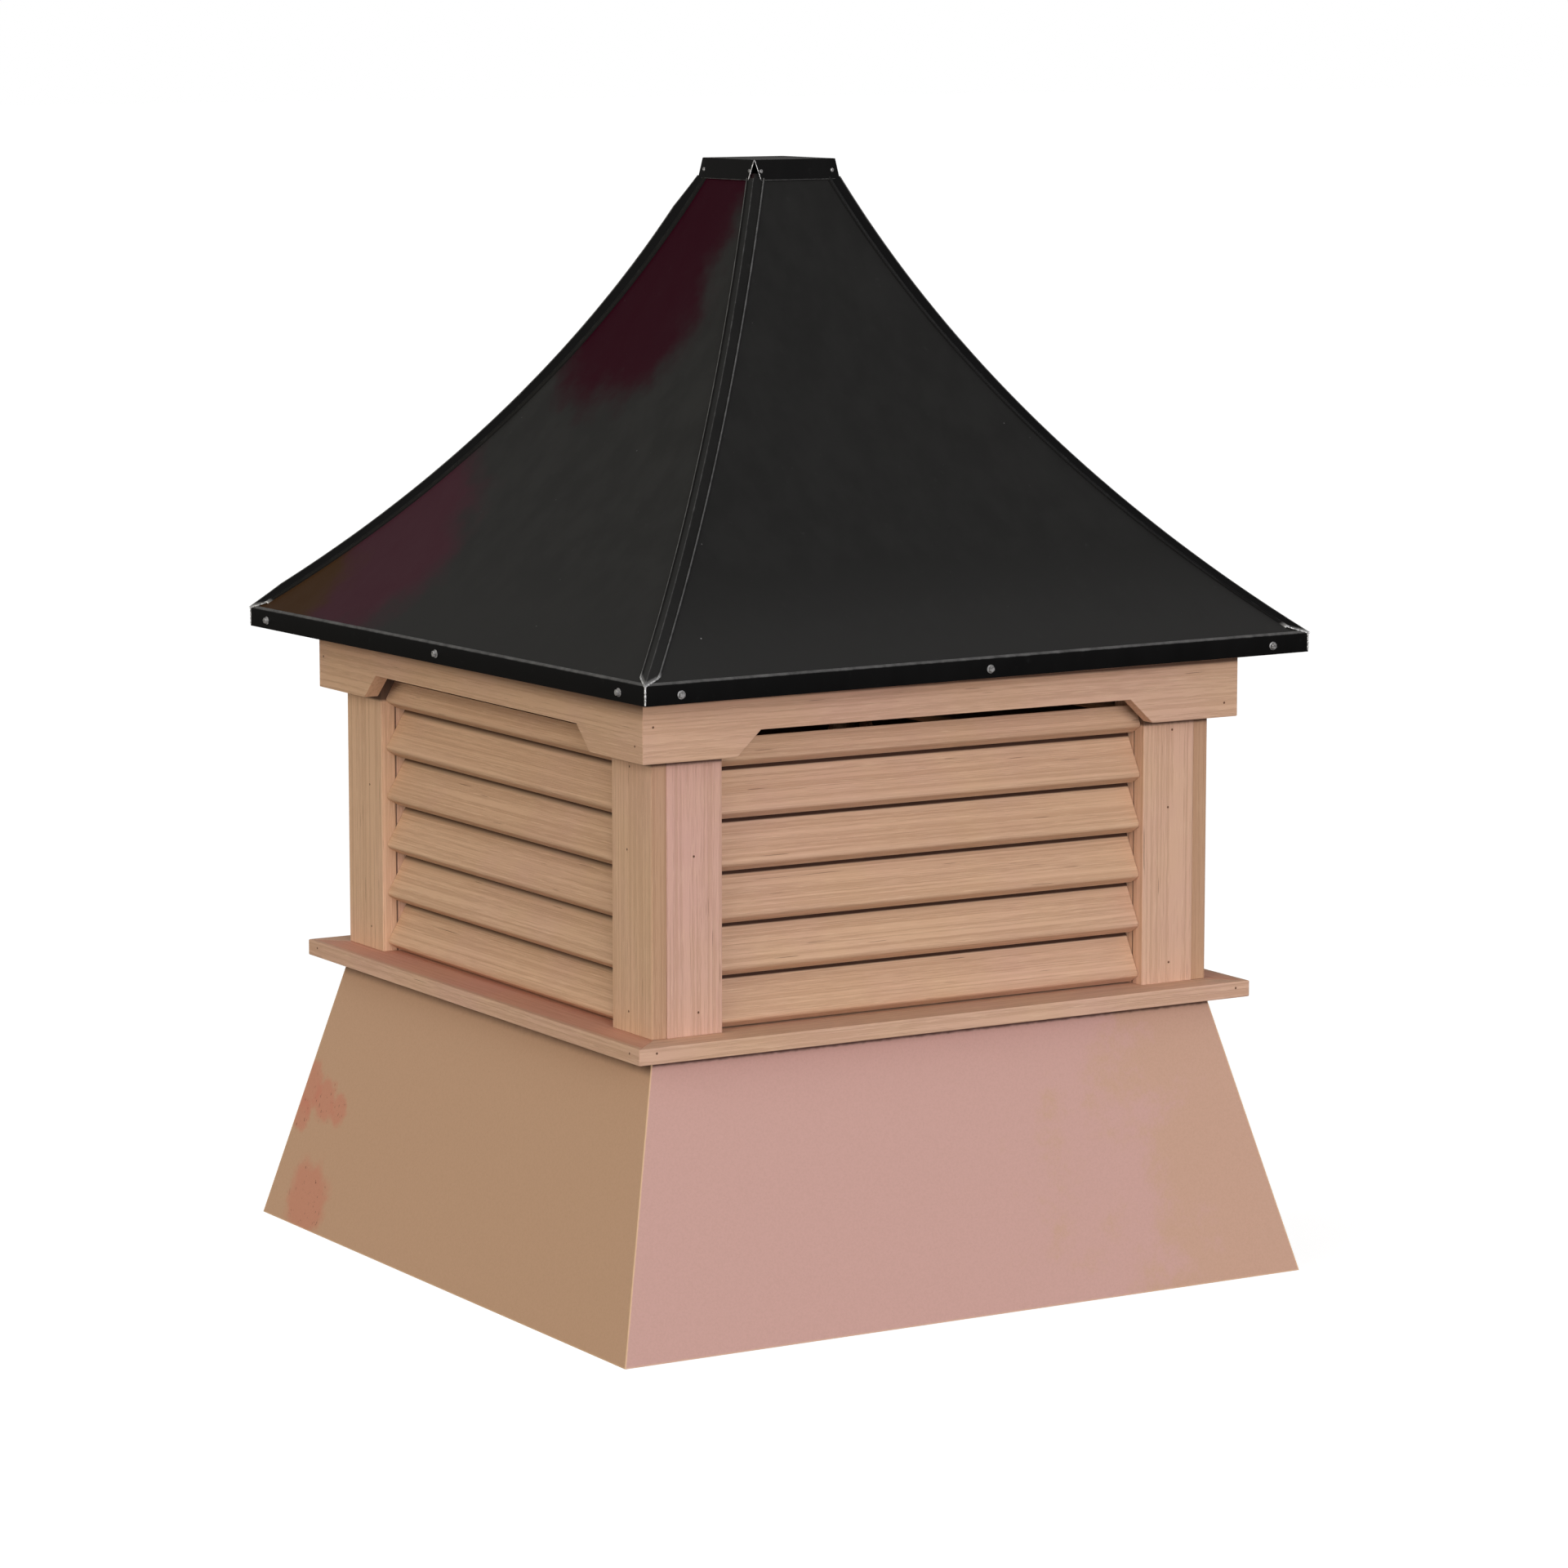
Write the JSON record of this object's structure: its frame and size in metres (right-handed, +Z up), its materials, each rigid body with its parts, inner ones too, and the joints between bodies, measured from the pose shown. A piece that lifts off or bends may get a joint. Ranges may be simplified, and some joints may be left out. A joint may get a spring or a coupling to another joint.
{
  "type": "louvred roof cupola",
  "caption": "Square louvred roof cupola with a flared skirt, sill, corner boards, cut frieze boards and a concave hipped sheet-metal roof that ends in a small collar.",
  "frame": {"origin": "centre of the square plan, on the skirt's bottom edge", "axes": "+Z up, -Y towards the front louvre, +X to the right seen from the front"},
  "size_m": [0.9442, 0.9442, 1.302],
  "materials": {
    "skirt_board": "smooth sheet board, painted clay brown, low sheen",
    "body_wood": "fine-grained boards, painted clay brown, low sheen",
    "roof_metal": "black factory-coated sheet, satin"
  },
  "bodies": {
    "root": {"skirt_front": "skirt_board", "skirt_right": "skirt_board", "skirt_back": "skirt_board", "skirt_left": "skirt_board", "sill_front": "body_wood", "sill_right": "body_wood", "sill_back": "body_wood", "sill_left": "body_wood", "side_board_front_left": "body_wood", "side_board_front_right": "body_wood", "side_board_back_right": "body_wood", "side_board_back_left": "body_wood", "face_board_front_left": "body_wood", "face_board_front_right": "body_wood", "face_board_back_right": "body_wood", "face_board_back_left": "body_wood", "louvre_stiles_front": "body_wood", "louvre_stiles_right": "body_wood", "louvre_stiles_back": "body_wood", "louvre_stiles_left": "body_wood", "louvre_blades_front": "body_wood", "louvre_blades_right": "body_wood", "louvre_blades_back": "body_wood", "louvre_blades_left": "body_wood", "top_plate": "body_wood", "frieze_front": "body_wood", "frieze_right": "body_wood", "frieze_back": "body_wood", "frieze_left": "body_wood", "roof_base": "body_wood", "roof_front": "roof_metal", "roof_right": "roof_metal", "roof_back": "roof_metal", "roof_left": "roof_metal", "hip_cap_front_left": "roof_metal", "hip_cap_front_right": "roof_metal", "hip_cap_back_right": "roof_metal", "hip_cap_back_left": "roof_metal", "eave_trim_front": "roof_metal", "eave_trim_right": "roof_metal", "eave_trim_back": "roof_metal", "eave_trim_left": "roof_metal", "collar": "roof_metal", "collar_lid": "roof_metal"}
  },
  "joints": []
}
